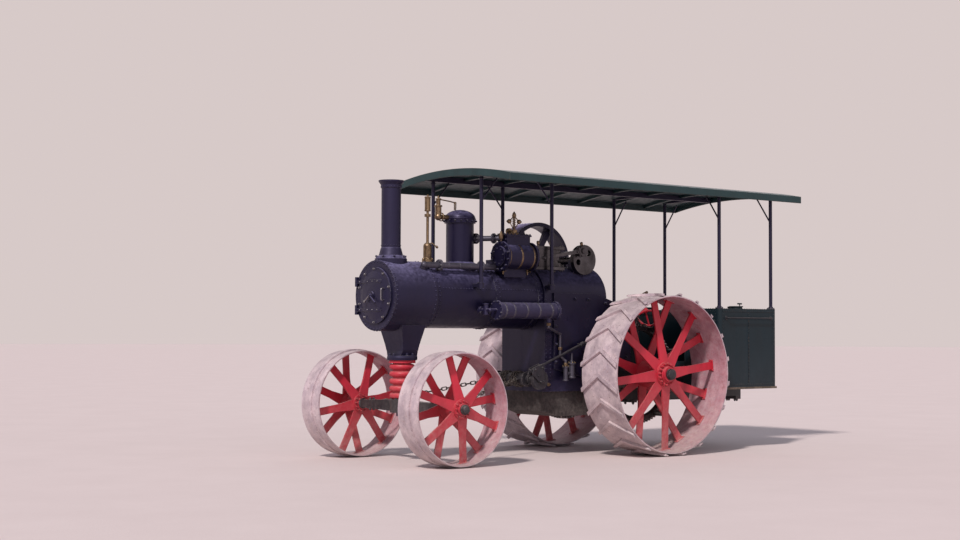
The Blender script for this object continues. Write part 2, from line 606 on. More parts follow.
bm = bmesh.new()
for x in (0.868, 1.042, 1.215):
    join(bm, band(0.1402, 0.1425, -0.012, 0.012, 0.002, 64, (x, *axis), FRONT))
for x in (0.866, 1.216):
    join(bm, turned([(0, 0), (0.012, 0), (0.012, 0.016), (0.016, 0.02), (0.016, 0.036), (0.008, 0.042), (0.008, 0.06),
                     (0, 0.062)], 12, (x, ENGINE_Y, 2.079), DOWN),
         bar([(x, ENGINE_Y, 2.052), (x, ENGINE_Y + 0.05, 2.052)], 0.0045))
join(bm, turned([(0, -0.01), (0.008, -0.01), (0.008, 0.022), (0.024, 0.026), (0.027, 0.034), (0.027, 0.078),
                 (0.024, 0.086), (0.012, 0.092), (0.01, 0.104), (0.014, 0.108), (0, 0.112)], 20,
                (1.2435, ENGINE_Y, 2.379)))
piece(bm, "cylinder_brass", brass, 50)

# Guide bars and crosshead: planed steel, bright and oily, bolted through distance pieces, with oil cups on top.
def oil_film(tree):
    """Dark oil left on parts of the steel."""
    return span(tree, noise(tree, here(tree), 6, 6, 0.6), 0.35, 0.65)


oily_steel = aged_finish("oily steel", (0.12, 0.112, 0.122), 0.28, wear=0.0, dust=0.04, climb=0.6, metal=1.0,
                         grain=(0.05, 110), mask=oil_film, second=(0.055, 0.049, 0.052), second_gloss=0.32,
                         second_metal=1.0)
dress(oily_steel, "guide_bars", "crosshead", "connecting_rod", "crankshaft")


def oil_cup(at, size=1.0):
    """A brass oil cup with a hinged lid."""
    profile = [(0, -0.004), (0.006, -0.004), (0.006, 0.012), (0.014, 0.016), (0.017, 0.022), (0.017, 0.044),
               (0.019, 0.045), (0.019, 0.049), (0.01, 0.055), (0.003, 0.058), (0, 0.062)]
    return turned([(r * size, z * size) for r, z in profile], 16, at)


CROSS_PIN_X = 0.6535
bm = bmesh.new()
for x in (0.365, 0.8):
    for y in (0.325, 0.365):
        stamp(bm, nut(0.016), [facing((x, y, 2.3473), UP), facing((x, y, 2.0827), DOWN)])
piece(bm, "guide_bar_nuts", oily_steel)
bm = bmesh.new()
join(bm, oil_cup((0.52, ENGINE_Y, 2.3473)), oil_cup((0.71, ENGINE_Y, 2.3473)), oil_cup((CRANK_X, 0.195, 2.255), 1.3))
piece(bm, "engine_oil_cups", brass, 50)
bm = bmesh.new()
stamp(bm, nut(0.03), [facing((CROSS_PIN_X, 0.385, CRANK_Z), LEFT), facing((CROSS_PIN_X, 0.305, CRANK_Z), RIGHT)])
piece(bm, "crosshead_nuts", oily_steel, body="crosshead")

# Connecting rod: forged, with a strap end on the crank pin held by two bolts, a cotter, and its own oil cup.
bm = bmesh.new()
lie = Matrix.Translation((CROSS_PIN_X, ENGINE_Y, CRANK_Z)) @ Matrix.Rotation(radians(9.125), 4, "Y")
for x in (-0.665, -0.575):
    stamp(bm, nut(0.018), [lie @ facing((x, 0, 0.048), UP), lie @ facing((x, 0, -0.048), DOWN)])
stamp(bm, slab((-0.545, -0.026, -0.014), (-0.525, 0.026, 0.014)), [lie])
piece(bm, "connecting_rod_bolts", oily_steel, body="connecting_rod")
bm = bmesh.new()
stamp(bm, oil_cup((-0.62, 0, 0.046)), [lie])
piece(bm, "connecting_rod_cup", brass, 50, body="connecting_rod")

# Crank pedestal: a cast bracket on the firebox crown, its cap held by four nuts.
bm = bmesh.new()
stamp(bm, nut(0.024), [facing((CRANK_X + x, 0.195 + y, 2.255), UP) for x in (-0.07, 0.07) for y in (-0.018, 0.018)])
stamp(bm, nut(0.024), [facing((CRANK_X + x, 0.24, 2.02), LEFT) for x in (-0.085, 0.085)])
piece(bm, "pedestal_nuts", boiler_black)

# Flywheel: cast iron in black, the face of its rim rubbed bright by the belt, and keyed to the crankshaft.
wheel_mask, given, result = node_group(
    "distance from an axle", (("Centre X", "Float", 0.0), ("Centre Z", "Float", 0.0), ("From", "Float", 0.5),
                              ("To", "Float", 0.51), ("Ragged", "Float", 0.004)), (("Mask", "Float"),))
place = here(wheel_mask)
point = split(wheel_mask, place)
across = sums(wheel_mask, "SUBTRACT", point["X"], given["Centre X"])
upright = sums(wheel_mask, "SUBTRACT", point["Z"], given["Centre Z"])
squares = sums(wheel_mask, "ADD", times(wheel_mask, across, across), times(wheel_mask, upright, upright))
reach = sums(wheel_mask, "SQRT", squares, 0.0)
torn = noise(wheel_mask, place, 34, 5)
torn = times(wheel_mask, sums(wheel_mask, "SUBTRACT", torn, 0.5), given["Ragged"])
mask = add_node(wheel_mask, "MapRange", i0=sums(wheel_mask, "ADD", reach, torn), i1=given["From"], i2=given["To"])
wire(result, Mask=mask.outputs[0])


def beyond(x, z, start, end, ragged=0.008):
    """A mask over what lies further from an axle than a radius."""
    def make(tree):
        return add_node(tree, "Group", {"node_tree": wheel_mask}, Centre_X=x, Centre_Z=z, From=start, To=end,
                        Ragged=ragged).outputs["Mask"]
    return make


flywheel_black = aged_finish("flywheel black", (0.01, 0.009, 0.022), 0.42, dust=0.15, climb=0.7,
                             mask=beyond(CRANK_X, CRANK_Z, 0.4675, 0.469, 0.003), second=(0.27, 0.26, 0.28),
                             second_gloss=0.28, second_metal=1.0, sheen=LAVENDER)
dress(flywheel_black, "flywheel")
bm = bmesh.new()
stamp(bm, nut(0.03), [facing((CRANK_X, -0.779, CRANK_Z), RIGHT)])
join(bm, slab((CRANK_X - 0.011, -0.765, 2.25), (CRANK_X + 0.011, -0.69, 2.268)))
piece(bm, "flywheel_key", oily_steel, body="crankshaft")

# Governor: a brass spindle with two balls, set on the valve chest, with the spring and collar under its head.
bm = bmesh.new()
x, y = 1.0415, 0.325
join(bm, coil((x, y, 2.52), UP, 0.019, 0.0032, 7, 0.135))
for s in (-1, 1):
    join(bm, bar([(x + s * 0.07, y, 2.605), (x + s * 0.016, y, 2.53)], 0.005),
         turned([(0, 0), (0.008, 0.001), (0.009, 0.008), (0, 0.01)], 10, (x + s * 0.0965, y, 2.605), (s, 0, 0)))
join(bm, turned([(0, 0), (0.02, 0), (0.022, 0.01), (0.012, 0.016), (0.008, 0.03), (0, 0.034)], 16, (x, y, 2.683)))
stamp(bm, nut(0.014), around((x, y, 2.471), "Z", 0.043, 6, start=30))
piece(bm, "governor_spring", brass, 50)

# Steam and exhaust pipes: dull iron pipe joined by bolted flanges, with flat bands on the long level run.
pipe_metal = aged_finish("dull pipe", (0.085, 0.078, 0.105), 0.42, dust=0.25, climb=0.8, metal=0.6, grain=(0.12, 60),
                         dust_tone=(0.4, 0.35, 0.42))
dress(pipe_metal, "steam_pipes", "feed_pump")


def flange(at, out, pipe, over, bolts=6):
    """A pair of bolted flanges round a pipe."""
    r = pipe + over
    half = [(r - 0.002, 0.001), (r + 0.001, 0.002), (r + 0.001, 0.012), (r, 0.013), (pipe, 0.013)]
    bm = turned([(wide, -z) for wide, z in reversed(half)] + half, 28)
    for way in (-1, 1):
        stamp(bm, nut(0.014), around((0, 0, way * 0.013), "Z", pipe + over * 0.5, bolts, way=way))
    bmesh.ops.transform(bm, matrix=facing(at, out), verts=bm.verts[:])
    return bm


bm = bmesh.new()
join(bm, flange((1.3725, 0.06, 2.415), FRONT, 0.03, 0.028), flange((1.45, 0.25, 2.096), FRONT, 0.034, 0.028),
     flange((2.02, 0.25, 2.096), FRONT, 0.034, 0.028), flange((1.247, 0.222, 2.415), (-0.58, 0.81, 0), 0.03, 0.026))
for x in (1.6, 1.75, 1.9):
    join(bm, band(0.0342, 0.0362, -0.01, 0.01, 0.002, 24, (x, 0.25, 2.096), FRONT))
piece(bm, "pipe_flanges", pipe_metal)

# Feed-water heater: a lagged steel drum on brackets beside the boiler, bolted at both ends and bound with
# dull iron bands.
HEATER_Y, HEATER_Z = 0.485, 1.62
heater_black = aged_finish("heater black", (0.013, 0.011, 0.034), 0.42, dust=0.55, climb=0.9, grain=(0.05, 14),
                           dust_tone=(0.36, 0.31, 0.46), glance=0.7, sheen=LAVENDER)
dress(heater_black, "feed_heater")
bm = bmesh.new()
for x, way in ((0.5725, -1), (1.4275, 1)):
    stamp(bm, nut(0.013), around((x, HEATER_Y, HEATER_Z), "X", 0.0965, 12, start=15, way=way))
stamp(bm, nut(0.014), around((1.5075, 0.345, HEATER_Z), "Y", 0.032, 4, start=45))
piece(bm, "feed_heater_nuts", heater_black)
bm = bmesh.new()
for x in (0.68, 0.86, 1.04, 1.22, 1.34):
    join(bm, band(0.0882, 0.0905, -0.011, 0.011, 0.002, 48, (x, HEATER_Y, HEATER_Z), FRONT),
         slab((x - 0.006, 0.567, HEATER_Z - 0.008), (x + 0.006, 0.583, HEATER_Z + 0.008), 0.0015))
piece(bm, "feed_heater_bands", pipe_metal)

# Feed pump: a cast barrel with gland nuts, an air vessel over its valve box, and brass unions on its pipe.
bm = bmesh.new()
stamp(bm, nut(0.013), around((0.2925, 0.447, 1.04), "Z", 0.041, 6))
stamp(bm, nut(0.013), around((0.3845, 0.447, 1.000), "Z", 0.03, 4, start=45))
for at in ((0.3845, 0.447, 1.025), (0.4445, 0.42, 1.2), (0.6725, 0.485, 1.47)):
    join(bm, turned([(0.015, -0.016), (0.023, -0.016), (0.025, -0.013), (0.025, 0.013), (0.023, 0.016),
                     (0.015, 0.016)], 6, at))
piece(bm, "feed_pump_unions", brass, 25)

# Backhead fittings: a pressure gauge with a white dial and glass, a water glass between its brass cocks,
# lever handles on the try cocks, and a long regulator handle with a turned grip.
GAUGE_Z = 1.915
dial_white, tree, shader = new_material("dial white")
tinged = mix(tree, noise(tree, here(tree), 60, 4), (0.72, 0.68, 0.56), (0.82, 0.8, 0.72))
wire(shader, Base_Color=tinged, Roughness=0.35)
bm = turned([(0, 0), (0.068, 0), (0.068, 0.0015), (0, 0.0015)], 48, (-0.4155, 0, GAUGE_Z), REAR)
piece(bm, "gauge_dial", dial_white)
mark_black = aged_finish("enamel black", (0.01, 0.01, 0.01), 0.4, wear=0.0, dust=0.0)
bm = bmesh.new()
middle = Matrix.Translation((-0.4, 0, GAUGE_Z))
for i in range(31):
    tick = slab((-0.0182, 0.05 - 0.006 * (i % 5 == 0), -0.0006), (-0.0172, 0.062, 0.0006), 0.0001)
    stamp(bm, tick, [middle @ Matrix.Rotation(radians(225 - 9 * i), 4, "X")])
hand = slab((-0.019, -0.014, -0.0015), (-0.018, 0.05, 0.0015), 0.0003)
stamp(bm, hand, [middle @ Matrix.Rotation(radians(120), 4, "X")])
join(bm, turned([(0, 0), (0.005, 0), (0.005, 0.003), (0, 0.003)], 12, (-0.417, 0, GAUGE_Z), REAR))
piece(bm, "gauge_marks", mark_black)
bm = bmesh.new()
join(bm, turned([(0.068, 0), (0.083, 0), (0.083, 0.006), (0.076, 0.012), (0.068, 0.01)], 40,
                (-0.4155, 0, GAUGE_Z), REAR))
for z, gland in ((1.565, 1.595), (1.785, 1.755)):
    stamp(bm, nut(0.02), [facing((-0.3635, -0.244, z), RIGHT)])
    join(bm, band(0.009, 0.016, -0.012, 0.012, 0, 8, (-0.3635, -0.2, gland)))
for z in (1.643, 1.753, 1.863):
    join(bm, bar(eased([(-0.345, 0.17, z - 0.018), (-0.345, 0.17, z), (-0.345, 0.215, z)], 0.008), 0.005))
piece(bm, "backhead_brass", brass, 50)
gauge_glass, tree, shader = new_material("gauge glass")
wire(shader, Base_Color=(0.86, 0.93, 0.92, 1), Roughness=0.04, Transmission_Weight=1.0,
     Normal=bumped(tree, noise(tree, here(tree), 90, 3), 0.04, 0.001))
bm = bmesh.new()
for low, high in (((-0.3755, -0.212), (-0.374, -0.188)), ((-0.3755, -0.212), (-0.352, -0.2105)),
                  ((-0.3755, -0.1895), (-0.352, -0.188))):
    join(bm, slab((*low, 1.6), (*high, 1.75), 0.0006))
piece(bm, "water_glass_guard", gauge_glass)
grip_wood = aged_finish("turned grip", (0.12, 0.055, 0.025), 0.42, wear=0.0, dust=0.2, coat=0.1, grain=(0.1, 80))
bm = turned([(0, 0), (0.011, 0.001), (0.014, 0.01), (0.013, 0.045), (0.016, 0.075), (0.012, 0.088), (0, 0.092)], 16,
            (-0.3875, -0.085, 1.782), (0, -0.83, 0.555))
piece(bm, "regulator_grip", grip_wood, 50)

# Fire door: cast iron, burnt grey by the fire, with strap bolts, and vent slots round its middle.
burnt_iron = aged_finish("burnt iron", (0.055, 0.047, 0.043), 0.66, dust=0.35, climb=0.8, metal=0.3, grain=(0.3, 70))
dress(burnt_iron, "fire_door")
bm = bmesh.new()
stamp(bm, head(0.009), [facing((-0.3485, y, z), REAR) for y in (-0.04, 0.06, 0.16) for z in (1.095, 1.195)])
stamp(bm, head(0.008), [facing((-0.3365, y, z), REAR) for y in (-0.185, 0.185) for z in (1.005, 1.285)])
piece(bm, "fire_door_bolts", burnt_iron, body="fire_door")

# Front pedestal: a casting bolted up to the smokebox; its round foot is bolted to the turntable ring.
FRONT_AXLE_X, FRONT_AXLE_Z = 2.3225, 0.595
bm = bmesh.new()
stamp(bm, nut(0.026), [place for place in around((FRONT_AXLE_X, 0, 1.13), "Z", 0.14, 12, start=15)
                       if abs(place.translation.x - FRONT_AXLE_X) > 0.112 or abs(place.translation.y) > 0.128])
join(bm, band(0.16, 0.1625, -0.016, 0.016, 0.004, 48, (FRONT_AXLE_X, 0, 1.105)))
piece(bm, "pedestal_bolts", smokebox_black)

# Steering gear: a cast bracket with a worm and wheel, a long shaft up to the hand wheel, and a chain roller.
# The chain's last turns lie wound on the roller.
dark_iron = aged_finish("dark iron", (0.018, 0.017, 0.024), 0.5, wear=0.7, dust=0.38, metal=0.3, grain=(0.25, 55))
chain_iron = aged_finish("chain iron", (0.075, 0.062, 0.055), 0.5, wear=0.8, dust=0.55, edge=0.003, metal=0.7,
                         bare=(0.42, 0.39, 0.37), grain=(0.15, 150))
wheel_red = (0.54, 0.02, 0.042)


def hand_wheel_zone(tree):
    """A mask over the hand wheel at the shaft's rear end."""
    point = split(tree, here(tree))
    return times(tree, sums(tree, "LESS_THAN", point["X"], -0.72), sums(tree, "GREATER_THAN", point["Z"], 1.42))


steering_iron = aged_finish("steering iron", (0.018, 0.017, 0.026), 0.48, wear=0.7, dust=0.3, metal=0.3,
                            grain=(0.2, 55), mask=hand_wheel_zone, second=wheel_red, second_gloss=0.35)
dress(steering_iron, "steering_gear")
bm = bmesh.new()
for x, z in ((0.76, 0.84), (0.806, 0.835), (0.775, 0.99), (0.885, 0.975), (0.83, 0.9)):
    stamp(bm, nut(0.018), [facing((x, 0.502, z), LEFT), facing((x, 0.418, z), RIGHT)])
for y in (-0.29, 0.29):
    stamp(bm, nut(0.018), [facing((0.655, y + s * 0.015, z), (0, s, 0)) for z in (0.815, 0.905) for s in (-1, 1)])
slant = Vector((cos(radians(21.4)), 0, -sin(radians(21.4))))
worm, wheel = Vector((0.8307, 0.46, 0.9834)), Vector((-0.8475, 0.46, 1.64))
join(bm, coil(worm - slant * 0.055, slant, 0.021, 0.0052, 6.5, 0.11, 6, 14))
join(bm, band(0.03, 0.036, -0.004, 0.014, 0.004, 16, wheel, -slant),
     turned([(0, 0), (0.018, 0.001), (0.02, 0.01), (0.012, 0.018), (0, 0.02)], 14, wheel - slant * 0.02, -slant))
piece(bm, "steering_bolts", steering_iron)
up_wheel = Vector((-slant.z, 0, slant.x))
bm = turned([(0, 0), (0.006, 0), (0.006, 0.018), (0.013, 0.022), (0.016, 0.04), (0.014, 0.075), (0.017, 0.095),
             (0.012, 0.106), (0, 0.108)], 16, wheel + up_wheel * 0.19 - slant * 0.01, -slant)
piece(bm, "steering_grip", grip_wood, 50)


def link(long, gap, wire):
    """A welded chain link of round wire, lying along X."""
    half, r = long / 2 + wire / 2, gap / 2 + wire / 2
    end = [(half - r + r * sin(a), r * cos(a), 0) for a in (pi * i / 5 for i in range(6))]
    return bar(end + [(-x, -y, z) for x, y, z in end], wire / 2, 6, closed=True)


LINKS, EYE_GAP = 25, 0.0085
for side, name in ((1, "left"), (-1, "right")):
    a, b = Vector((0.8865, 0.19 * side, 0.86)), Vector((2.2435, 0.663 * side, FRONT_AXLE_Z))
    way = (b - a).normalized()
    pitch = ((b - a).length - 2 * EYE_GAP) / LINKS
    lie = way.to_track_quat("X", "Z").to_matrix().to_4x4()
    bm = bmesh.new()
    for first, turn in ((0, 90), (1, 0)):
        places = [Matrix.Translation(a + way * (EYE_GAP + pitch * (i + 0.5))) @ lie
                  @ Matrix.Rotation(radians(turn), 4, "X") for i in range(first, LINKS, 2)]
        stamp(bm, link(pitch, 0.02, 0.013), places)
    chain = piece(bm, "steering_chain_" + name, chain_iron, 60, body=None)
    if side > 0:
        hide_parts("steering_chains")
    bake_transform(chain)

bm = bmesh.new()
for side in (-1, 1):
    places = []
    for i in range(44):
        angle = radians(-24 - 25.5 * i)
        out, tangent = Vector((cos(angle), 0, sin(angle))), Vector((-sin(angle), 0, cos(angle)))
        at = Vector((0.7825, side * (0.162 - 0.002688 * i), 0.86)) + out * 0.0795
        lie = Matrix((tangent, out.cross(tangent), out)).transposed().to_4x4()
        places.append(Matrix.Translation(at) @ lie @ Matrix.Rotation(radians(45 if i % 2 else -45), 4, "X"))
    stamp(bm, link(0.036, 0.013, 0.009), places)
piece(bm, "chain_on_roller", chain_iron, 60)

# Front axle: a forged beam with collars at the wheels, and the king pin's bolster under a stack of red springs.
dress(dark_iron, "front_axle", "rear_axle", "drawbar")
spring_red = aged_finish("spring red", wheel_red, 0.42, wear=0.8, dust=0.55, climb=1.1, bare=(0.12, 0.07, 0.06),
                         grain=(0.15, 40))
dress(spring_red, "axle_springs")
REAR_AXLE_X, REAR_AXLE_Z = -0.5475, 0.915
bm = bmesh.new()
stamp(bm, nut(0.024), around((FRONT_AXLE_X, 0, 0.665), "Z", 0.115, 8, start=22.5))
stamp(bm, nut(0.026), [facing((FRONT_AXLE_X + x, y, z), out) for x in (-0.022, 0.022) for y in (-0.56, 0.56)
                       for z, out in ((0.64, UP), (0.55, DOWN))])
for s in (-1, 1):
    for low, high in ((0.545, 0.5515), (0.6385, 0.645)):
        join(bm, slab((FRONT_AXLE_X - 0.049, s * 0.56 - 0.028, low), (FRONT_AXLE_X + 0.049, s * 0.56 + 0.028, high)))
    join(bm, turned([(0, 0), (0.036, 0), (0.044, -0.002), (0.044, 0.01), (0.036, 0.022), (0.016, 0.027), (0, 0.027)],
                    20, (FRONT_AXLE_X, s * 1.103, FRONT_AXLE_Z), (0, s, 0)))
piece(bm, "front_axle_bolts", dark_iron, body="front_axle")
bm = bmesh.new()
for s in (-1, 1):
    join(bm, turned([(0, 0), (0.052, 0), (0.058, 0.004), (0.058, 0.012), (0.042, 0.022), (0.018, 0.027), (0, 0.027)],
                    24, (REAR_AXLE_X, s * 1.19, REAR_AXLE_Z), (0, s, 0)))
    stamp(bm, nut(0.02), around((REAR_AXLE_X, s * 0.396, REAR_AXLE_Z), "Y", 0.098, 6, start=30, way=s))
piece(bm, "rear_axle_caps", dark_iron)

# Wheels: steel rims with flat spokes riveted into cast hubs and bent to feet on the rim, painted red inside.
# Dust and gravel have scoured the rims to a pale pinkish grey.
def scoured(inside):
    """Rim steel scoured pale, with greyer patches, dark pits and a little rust. Within the mask some red paint
    still clings."""
    def tones(tree):
        place = here(tree)
        patches = noise(tree, place, 7, 8, 0.7)
        pits = noise(tree, place, 85, 4, 0.6)
        rust = noise(tree, place, 15, 7, 0.75)
        tone = mix(tree, span(tree, patches, 0.38, 0.62), (0.44, 0.34, 0.38), (0.68, 0.54, 0.56))
        cling = times(tree, sums(tree, "SUBTRACT", 1.0, inside(tree)), span(tree, rust, 0.34, 0.6, 0.35, 0.75))
        tone = mix(tree, cling, tone, (0.44, 0.14, 0.19))
        tone = mix(tree, span(tree, rust, 0.56, 0.7, 0, 0.6), tone, (0.3, 0.16, 0.14))
        return mix(tree, span(tree, pits, 0.6, 0.7, 0, 0.5), tone, (0.17, 0.12, 0.13))
    return tones


def wheel_finish(end, x, z, climb, rim, tread):
    """Red paint up to the rim's inside, and scoured steel from there out."""
    made = aged_finish(end + " wheel", wheel_red, 0.4, wear=0.9, dust=0.55, climb=climb, bare=(0.16, 0.08, 0.07),
                       grain=(0.25, 48), mask=beyond(x, z, rim, rim + 0.006, 0.01),
                       second=scoured(beyond(x, z, tread, tread + 0.002, 0.0)), second_gloss=0.62)
    dress(made, end + "_wheel_left", end + "_wheel_right")
    return made


front_wheel_finish = wheel_finish("front", FRONT_AXLE_X, FRONT_AXLE_Z, 0.8, 0.556, 0.571)
rear_wheel_finish = wheel_finish("rear", REAR_AXLE_X, REAR_AXLE_Z, 1.0, 0.858, 0.874)


def on_rim(x, z, r, y, degrees, inward=True):
    """A placement on a wheel's rim at an angle turned from the front towards the ground."""
    a = radians(degrees)
    out = Vector((cos(a), 0, -sin(a)))
    return facing(Vector((x, y, z)) + out * r, -out if inward else out)


for side, name in ((1, "left"), (-1, "right")):
    x, z = FRONT_AXLE_X, FRONT_AXLE_Z
    bm = bmesh.new()
    foot, tread = [], []
    for start, row in ((100, 1), (130, -1)):
        for i in range(6):
            for step in (-4.9, 4.9):
                foot.append(on_rim(x, z, 0.555, side * (0.9 + row * 0.036), start + 60 * i + step))
            for step in (-1, 1):
                if row > 0:
                    foot.append(on_rim(x, z, 0.555, side * 0.952, start + 60 * i + step * 2.52))
                tread.append(on_rim(x, z, 0.581, side * (0.9 + row * 0.085), start + 60 * i + step * 3.08, False))
    stamp(bm, head(0.0095), foot)
    stamp(bm, head(0.0095, 0.35), tread)
    for y, way in ((1.055, side), (0.745, -side)):
        stamp(bm, nut(0.018), around((x, side * y, z), "Y", 0.0865, 12, start=5, way=way))
    join(bm, band(0.062, 0.0665, -0.004, 0.008, 0.002, 32, (x, side * 1.06, z), (0, side, 0)))
    piece(bm, "front_wheel_rivets_" + name, front_wheel_finish, body="front_wheel_" + name)

    x, z = REAR_AXLE_X, REAR_AXLE_Z
    bm = bmesh.new()
    foot = [on_rim(x, z, 0.857, side * (0.945 + row * 0.042 + across), start + 45 * i + step)
            for start, row in ((96, 1), (118.5, -1)) for i in range(8)
            for step in (-3.6, 3.6) for across in (0.018, -0.018)]
    tread = [on_rim(x, z, 0.885, side * 0.945 + u, 90 - 18 * i + (step - 0.62 * abs(u)) / 0.885 * 180 / pi, False)
             for i in range(20) for u in (-0.245, -0.13, 0.13, 0.245) for step in (-0.042, 0.042)]
    stamp(bm, head(0.011), foot)
    stamp(bm, head(0.01, 0.4, 8), tread)
    for wide, y, r, way in ((0.026, 1.11, 0.118, side), (0.024, 0.725, 0.126, -side)):
        stamp(bm, nut(wide), around((x, side * y, z), "Y", r, 16, start=5, way=way))
    join(bm, band(0.088, 0.094, -0.006, 0.011, 0.003, 40, (x, side * 1.12, z), (0, side, 0)))
    piece(bm, "rear_wheel_rivets_" + name, rear_wheel_finish, body="rear_wheel_" + name)

# Gearing: cast bull gears, countershaft, intermediate gear and clutch pinion. Their teeth run bright
# under black grease, and the webs hold oil and dust.
grease, given, result = node_group("greasy teeth", (("Mask", "Float", 0.0),), (("Bright", "Float"),))
smear = noise(grease, here(grease), 21, 6, 0.7)
wire(result, Bright=times(grease, given["Mask"], span(grease, smear, 0.42, 0.56)))


def teeth(x, z, root):
    """A mask over a gear's worn teeth, with grease left on parts of them."""
    def make(tree):
        far = beyond(x, z, root - 0.004, root + 0.006)(tree)
        return add_node(tree, "Group", {"node_tree": grease}, Mask=far).outputs["Bright"]
    return make


IDLER_X, IDLER_Z = -0.2434, 2.043
for name, x, z, root, nodes_of in (
        ("bull gear", REAR_AXLE_X, REAR_AXLE_Z, 0.548, ("bull_gear_left", "bull_gear_right")),
        ("countershaft", COUNTER_X, COUNTER_Z, 0.328, ("countershaft_right",)),
        ("countershaft left", COUNTER_X, COUNTER_Z, 0.1, ("countershaft_left",)),
        ("intermediate gear", IDLER_X, IDLER_Z, 0.16, ("idler_gear",)),
        ("clutch pinion", CRANK_X, CRANK_Z, 0.1, ("clutch_pinion",))):
    gear_iron = aged_finish(name, (0.016, 0.015, 0.018), 0.42, dust=0.25, metal=0.3, grain=(0.2, 60),
                            mask=teeth(x, z, root), second=(0.4, 0.37, 0.35), second_gloss=0.25, second_metal=1.0)
    dress(gear_iron, *nodes_of)
bm = bmesh.new()
stamp(bm, nut(0.036), [facing((IDLER_X, -0.459, IDLER_Z), RIGHT)])
join(bm, band(0.03, 0.05, 0, 0.004, 0, 24, (IDLER_X, -0.4555, IDLER_Z), RIGHT))
piece(bm, "idler_pin_nut", dark_iron)
bm = bmesh.new()
stamp(bm, nut(0.016), around((COUNTER_X, -0.455, COUNTER_Z), "Y", 0.07, 6, start=30, way=-1))
piece(bm, "countershaft_gear_bolts", dark_iron, body="countershaft_right")

# Platform: worn planks laid across two channel rails, nailed down, with an iron edge.
boards, given, result = node_group(
    "board joints", (("Across", "Float", 0.0), ("Width", "Float", 0.14), ("Gap", "Float", 0.006)),
    (("Joint", "Float"), ("Board", "Float")))
steps = sums(boards, "DIVIDE", given["Across"], given["Width"])
whole = sums(boards, "FLOOR", steps, 0.0)
inside = sums(boards, "ABSOLUTE", sums(boards, "SUBTRACT", sums(boards, "SUBTRACT", steps, whole), 0.5), 0.0)
limit = sums(boards, "SUBTRACT", 0.5, sums(boards, "DIVIDE", given["Gap"], given["Width"]))
joint = add_node(boards, "MapRange", i0=inside, i1=limit, i2=0.5).outputs[0]
chance = add_node(boards, "TexWhiteNoise", {"noise_dimensions": "1D"}, W=whole).outputs["Value"]
wire(result, Joint=joint, Board=chance)

deck, tree, shader = new_material("worn planks")
place = here(tree)
point = split(tree, place)
lines = add_node(tree, "Group", {"node_tree": boards}, Across=point["X"], Width=0.146, Gap=0.005).outputs
stretched = add_node(tree, "Mapping", Vector=place, Scale=(60, 3.0, 60)).outputs[0]
grain = add_node(tree, "TexNoise", Vector=stretched, Scale=1.0, Detail=8.0, Roughness=0.65, Distortion=0.6)
grain = grain.outputs["Fac"]
blotch = noise(tree, place, 4.5, 5)
wood = mix(tree, span(tree, grain, 0.32, 0.68), (0.06, 0.042, 0.03), (0.2, 0.15, 0.11))
wood = scaled(tree, wood, span(tree, lines["Board"], 0, 1, 0.7, 1.2))
wood = mix(tree, span(tree, blotch, 0.5, 0.68, 0, 0.55), wood, (0.3, 0.25, 0.21))
wood = mix(tree, lines["Joint"], wood, (0.006, 0.005, 0.004))
iron = sums(tree, "LESS_THAN", point["Z"], 0.7155)
relief = sums(tree, "SUBTRACT", times(tree, grain, 0.25), lines["Joint"])
wire(shader, Base_Color=mix(tree, iron, wood, (0.03, 0.029, 0.032)), Normal=bumped(tree, relief, 0.7, 0.003),
     Roughness=level(tree, iron, span(tree, grain, 0.3, 0.7, 0.62, 0.86), 0.5))
dress(deck, "platform")
bm = bmesh.new()
for i in range(6):
    for y in (-0.47, -0.345, 0.345, 0.47):
        stamp(bm, head(0.006, 0.4, 7), [facing((-0.73 - 0.146 * i + x, y, 0.74), UP) for x in (-0.035, 0.035)])
piece(bm, "deck_nails", dark_iron)
bm = bmesh.new()
for s in (-1, 1):
    join(bm, slab((-1.585, s * 0.53 - 0.004, 0.69), (-0.68, s * 0.53 + 0.004, 0.748)))
piece(bm, "steps_and_edges", dark_iron)

# Tender: side tanks and bunker of riveted sheet in deep green, with angles at the corners, filler lids,
# rope rails, and a feed cock at the foot of each tank.
tender_green = aged_finish("tender green", (0.005, 0.016, 0.023), 0.42, wear=0.6, dust=0.2, climb=1.3,
                           bare=(0.14, 0.09, 0.07), grain=(0.05, 6), dust_tone=(0.24, 0.23, 0.26), glance=0.3)
dress(tender_green, "side_tanks", "coal_bunker")
TANK_FRONT, TANK_BACK, TANK_SIDE, TANK_TOP = -1.5875, -2.5975, 0.95, 1.67
rows = [along((-2.53, TANK_SIDE, z), (-1.655, TANK_SIDE, z), 24, LEFT) for z in (0.772, 1.64)]
rows += [along((x, TANK_SIDE, 0.81), (x, TANK_SIDE, 1.605), 21, LEFT) for x in (-2.535, -2.0925, -1.65)]
for x, out in ((TANK_FRONT, FRONT), (TANK_BACK, REAR)):
    rows += [along((x, 0.615, z), (x, 0.885, z), 8, out) for z in (0.772, 1.64)]
    rows += [along((x, y, 0.81), (x, y, 1.605), 21, out) for y in (0.612, 0.888)]
rows += [along((-2.56, y, TANK_TOP), (-1.625, y, TANK_TOP), 25, UP) for y in (0.612, 0.925)]
rows += [along((x, 0.64, TANK_TOP), (x, 0.86, TANK_TOP), 7, UP) for x in (-2.573, -1.612)]
bm = bmesh.new()
for row in rows:
    stamp(bm, head(0.0085), row)
join(bm, slab((-2.548, 0.9495, 0.762), (-1.637, 0.9535, 0.782)), slab((-2.548, 0.9495, 1.63), (-1.637, 0.9535, 1.65)),
     slab((-2.1025, 0.9495, 0.785), (-2.0825, 0.953, 1.627)))
mirrored(bm)
for z in (0.772, 1.585):
    stamp(bm, head(0.0085), along((TANK_BACK, -0.56, z), (TANK_BACK, 0.56, z), 28, REAR))
